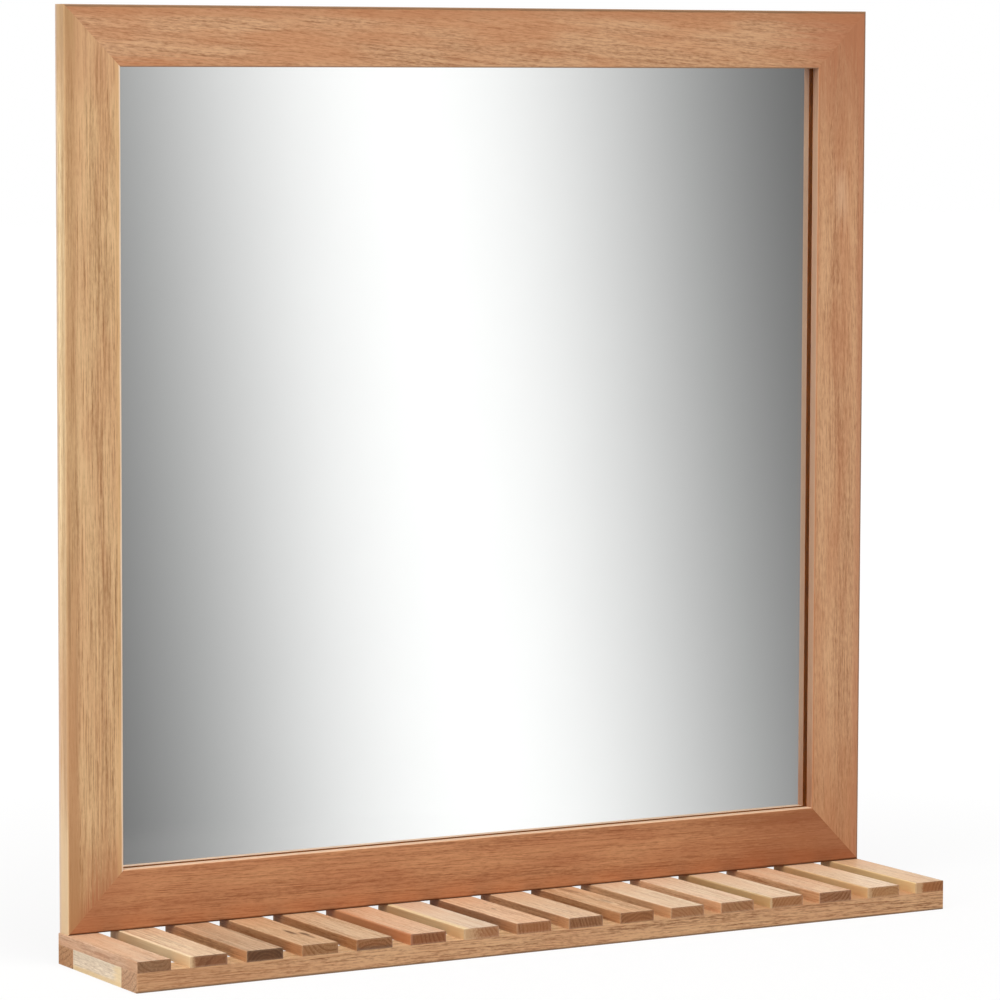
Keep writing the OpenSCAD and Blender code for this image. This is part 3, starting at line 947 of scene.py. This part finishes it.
# %% Slats 11 to 16
slats += [
    dict(cream, pale=tone(240, 217, 186), pith=(-22, -20), gap=2.2,
         ends=(0.46, 0.28, 0.17), sides=mid_gap_shade),
    dict(cream, blush=tone(238, 196, 166), pith=(26, 24), rings=0.45,
         ends=(0.45, 0.28, 0.17), sides=faint_gap_shade),
    dict(cream, pith=(34, -28), gap=2.2, ends=(0.46, 0.27, 0.15), sides=faint_gap_shade,
         regions=flank(olive_flank, 2.0, 1.5)),
    dict(peach, pale=tone(238, 208, 176), pith=(-10, 15), gap=2.4,
         ends=(0.4, 0.26, 0.17), sides=(0.82, 0.67, 0.52)),
    dict(cream, pale=tone(242, 216, 184), pith=(6, -7), gap=2.0,
         ends=(0.52, 0.35, 0.21), sides=(0.84, 0.66, 0.5), regions=flank(tone(224, 182, 128), 5.0, 4.0)),
    dict(sand, pale=tone(226, 195, 156), pith=(30, -10), ends=(0.5, 0.29, 0.16), sides=faint_gap_shade,
         regions=flank(yellow_flank, 7.0, 2.5)),
]
print(len(slats), "slats described")

# %% [markdown]
# Every slat gets its own seed, so that no two share their grain. The dowels at the ends of
# the shelf are hidden, and take the plainest wood.

# %% Dress the slats and dowels
usual_slat = dict(
    gap=2.8, wander=3.0, rings=0.35, streaks=1.2, dashes=0.7, hairs=0.35, flecks=0.7, stroke=1.5,
    blush_share=0.5, edges=0.14, ends=plain_end, sides=plain_gap_shade, regions=(front_bounce_light,))
for number, slat in enumerate(slats, 1):
    look = {**usual_slat, **slat}
    # The side tints paint the gaps' shade onto the sides; the end tints darken the end grain.
    look["faces"] = {"x": look.pop("sides"), "y": look.pop("ends")}
    look["regions"] = (under_frame, *look["regions"])
    node = f"slat_{number:02d}"
    wood(node, node + "_wood", "y", seed=50 + 7 * number, **look)
wood("end_dowels", "dowel_wood", "y", tone(232, 206, 166), tone(196, 160, 116))

# %% [markdown]
# ## The mirror
#
# A mirror isn't shiny at its front. Its silver lies behind four millimetres of glass, and
# one sees that: at the frame's inner edge stands a thin dark line, where the eye looks into
# the glass behind the lip, and beside it the lip's reflection. A polished plate would lose
# both. So the pane is clear glass, and a silver skin of its own lies at its back. A film of
# air keeps the glass from sharing its faces with the wood, where light would lose its way.

# %% Glass
glass_play = 0.00003
smears_per_metre = Vector((9, 9, 5))
glass_finish, bench = new_finish("clear_glass")
smear = bench.rise(bench.grain(bench.point() * smears_per_metre, 4, 0.6), 0.55, 0.8)
bench.surface({
    "Base Color": (0.985, 0.991, 0.987, 1),
    "Roughness": smear * 0.006,
    "IOR": 1.5,
    "Transmission Weight": 1.0,
})
dress("mirror_glass", glass_finish)
air = nodes["mirror_glass"].modifiers.new("air_film", "DISPLACE")
air.strength = -glass_play
air.mid_level = 0.0
print("film of air:", round(glass_play * 1000, 3), "mm")

# %% [markdown]
# The silver is sprayed on a little short of the glass's edge, with rounded corners. It has
# hardly any thickness, but a skin with two sides bakes and prints better than a bare sheet.

# %% Silver skin
glass_low, glass_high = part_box("mirror_glass")
skin_inset, skin_corner, skin_depth = 0.0004, 0.002, 0.00002
corner_steps = 4
outline = []
for sign_x, sign_z, first_angle in ((1, 1, 0), (-1, 1, 90), (-1, -1, 180), (1, -1, 270)):
    edge_x = glass_high.x - skin_inset if sign_x > 0 else glass_low.x + skin_inset
    edge_z = glass_high.z - skin_inset if sign_z > 0 else glass_low.z + skin_inset
    for step in range(corner_steps + 1):
        angle = math.radians(first_angle + 90 / corner_steps * step)
        outline.append((edge_x - sign_x * skin_corner + skin_corner * math.cos(angle),
                        edge_z - sign_z * skin_corner + skin_corner * math.sin(angle)))

front_y = glass_high.y - glass_play - 2 * skin_depth
skin_form = bmesh.new()
skin = skin_form.faces.new([skin_form.verts.new((x, front_y, z)) for x, z in outline])
thick = bmesh.ops.extrude_face_region(skin_form, geom=[skin])
bmesh.ops.translate(skin_form, vec=(0, skin_depth, 0),
                    verts=[v for v in thick["geom"] if isinstance(v, bmesh.types.BMVert)])
bmesh.ops.recalc_face_normals(skin_form, faces=skin_form.faces[:])
skin_mesh = bpy.data.meshes.new("mirror_silver")
skin_form.to_mesh(skin_mesh)
skin_form.free()
silver_skin = bpy.data.objects.new("mirror_silver", skin_mesh)
bpy.context.scene.collection.objects.link(silver_skin)
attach(silver_skin, "root")
print("silver skin of", len(skin_mesh.vertices), "points behind the glass")

# %% [markdown]
# Old silver darkens first at its rim, where damp gets in, so the rim is a little duller. One
# perfect tone would be quicker, but a mirror without any cloud looks drawn and not made.

# %% Silver
rim_width = 3.0
bright_silver, dull_silver = (0.955, 0.96, 0.955, 1), (0.4, 0.38, 0.34, 1)
silver_finish, bench = new_finish("silver_coat")
spot = bench.point()
cloud = bench.grain(spot * 14.0, 3, 0.6)
glass_middle, glass_half = middle_and_half("mirror_glass")
from_middle = abs(spot * 1000.0 - glass_middle).parts()
from_rim = (glass_half.x - from_middle[0]).least(glass_half.z - from_middle[2])
rim = bench.rise(from_rim, 0.0, rim_width, 1.0, 0.0)
coat = bench.mix(rim * 0.5, bright_silver, dull_silver)
bench.surface({
    "Base Color": coat * (0.985 + cloud * 0.03),
    "Metallic": 1.0,
    "Roughness": rim * 0.05 + cloud * 0.004,
})
skin_mesh.materials.append(silver_finish)
print("the silver is duller over", rim_width, "mm at its rim")

# %% [markdown]
# ## The back
#
# Nobody looks at the back once the mirror hangs, but a good part has one. A thin board of
# pressed fibres closes it, held by small screws, and two steel plates with a keyhole take
# the screws in the wall. The wood's recipe can't be used for the board, as pressed fibres
# have no grain, only a fine brown mottle with a few dark specks. Here too, noise is counted
# in waves for each millimetre.

# %% Pressed board
board_finish, bench = new_finish("pressed_board")
spot = bench.point() * 1000.0
mottle = bench.grain(spot * 0.35, 4, 0.65)
clouds = bench.grain(spot * 0.012, 2, 0.5)
speck = bench.rise(bench.grain(spot * 0.8 + 30.0, 1, 0.5), 0.68, 0.76)
panel_middle, panel_half = middle_and_half("backing_panel")
near_edge = edge_nearness(bench, (spot - panel_middle).parts(), list(panel_half), reach=4.0)
colour = bench.mix(bench.rise(mottle, 0.25, 0.75), tone(150, 108, 72), tone(104, 70, 44))
colour = bench.mix(bench.rise(clouds, 0.35, 0.65) * 0.3, colour, tone(134, 96, 66))
colour = bench.mix(speck * 0.5, colour, tone(66, 42, 28))
colour = bench.mix(near_edge * 0.35, colour, tone(172, 132, 94))
bench.surface({
    "Base Color": colour,
    "Roughness": 0.55 + mottle * 0.2 - near_edge * 0.05,
    "Normal": bench.bump(mottle * 0.05 + speck * 0.03, 0.6),
})
dress("backing_panel", board_finish)

# %% [markdown]
# Screws, nails and plates are zinc plated steel. One grey metal would do from afar. Seen
# close, zinc has a faint crystal cloud, for which the Voronoi Texture is made, and fine
# scratches, and it shines where hands and screwdrivers have rubbed it.

# %% Zinc plated steel
zinc_grey = (0.62, 0.615, 0.6, 1)
zinc_tarnish = (0.5, 0.47, 0.4, 1)
rubbed_zinc = (0.78, 0.78, 0.77, 1)


def zinc(node):
    finish, bench = new_finish(node + "_zinc")
    spot = bench.point() * 1000.0
    crystals = bench.node("ShaderNodeTexVoronoi", {}, {"Vector": spot, "Scale": 0.45}, "Color").parts()[0]
    scratches = bench.grain(spot * Vector((0.25, 1.0, 6.0)), 3, 0.7)
    cloud = bench.grain(spot * 0.12, 3, 0.6)
    middle, half = middle_and_half(node)
    worn = edge_nearness(bench, (spot - middle).parts(), list(half), reach=0.8)
    colour = bench.mix(crystals * 0.35, zinc_grey, shade(zinc_grey, 0.8))
    colour = bench.mix(bench.rise(cloud, 0.5, 0.8) * 0.35, colour, zinc_tarnish)
    colour = bench.mix(worn * 0.5, colour, rubbed_zinc)
    bench.surface({
        "Base Color": colour,
        "Metallic": 1.0,
        "Roughness": 0.3 + scratches * 0.16 + crystals * 0.06 - worn * 0.08,
        "Normal": bench.bump(scratches * 0.01, 0.5),
    })
    dress(node, finish)


for fastening in ("hanger_left", "hanger_right", "hanger_screws", "backing_screws", "frame_screws",
                  "slat_screws", "mitre_nails"):
    zinc(fastening)
